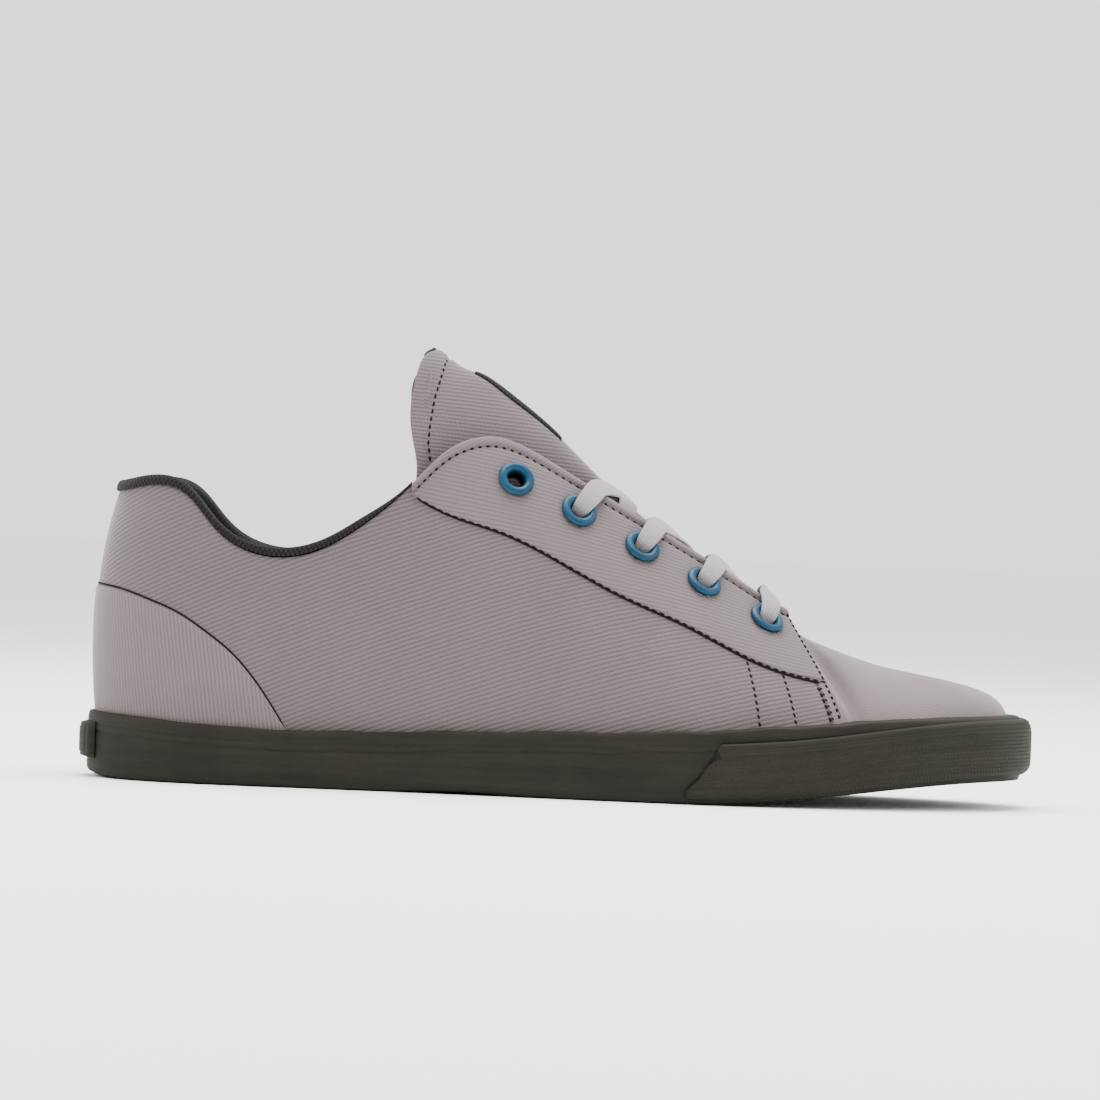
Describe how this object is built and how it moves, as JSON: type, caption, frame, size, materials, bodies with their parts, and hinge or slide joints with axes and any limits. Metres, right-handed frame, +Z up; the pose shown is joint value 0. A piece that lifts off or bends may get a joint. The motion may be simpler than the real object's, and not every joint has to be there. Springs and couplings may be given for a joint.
{
  "type": "skateboarding shoe",
  "caption": "Right low-top skate shoe: hollow twill upper with padded collar and tongue, laced eyestays, and a flat rubber sole with a wrapped side wall.",
  "frame": {"origin": "centre of the heel's flat spot on the floor", "axes": "+X from heel to toe, +Y to the inner (medial) side, +Z up; the shoe stands on z = 0"},
  "size_m": [0.2985, 0.1069, 0.1378],
  "materials": {
    "canvas": "matte grey twill",
    "lining": "matte charcoal knit",
    "label": "dark woven, bare",
    "lace": "light grey cotton",
    "foam": "soft foam",
    "foxing_rubber": "olive-grey satin",
    "outsole_rubber": "olive-grey satin",
    "eyelet": "blue gloss"
  },
  "bodies": {
    "root": {"outsole": "outsole_rubber", "midsole": "foam", "insole": "lining", "foxing": "foxing_rubber", "toe_bumper": "foxing_rubber", "heel_badge": "foxing_rubber", "upper": "canvas", "collar_lining": "lining", "tongue": "canvas", "tongue_label": "label", "eyestay_lateral": "canvas", "eyestay_medial": "canvas", "eyelet_lateral_1": "eyelet", "eyelet_lateral_2": "eyelet", "eyelet_lateral_3": "eyelet", "eyelet_lateral_4": "eyelet", "eyelet_lateral_5": "eyelet", "eyelet_medial_1": "eyelet", "eyelet_medial_2": "eyelet", "eyelet_medial_3": "eyelet", "eyelet_medial_4": "eyelet", "eyelet_medial_5": "eyelet", "lace_crossing_1": "lace", "lace_crossing_2": "lace", "lace_crossing_3": "lace", "lace_bar": "lace"}
  },
  "joints": []
}
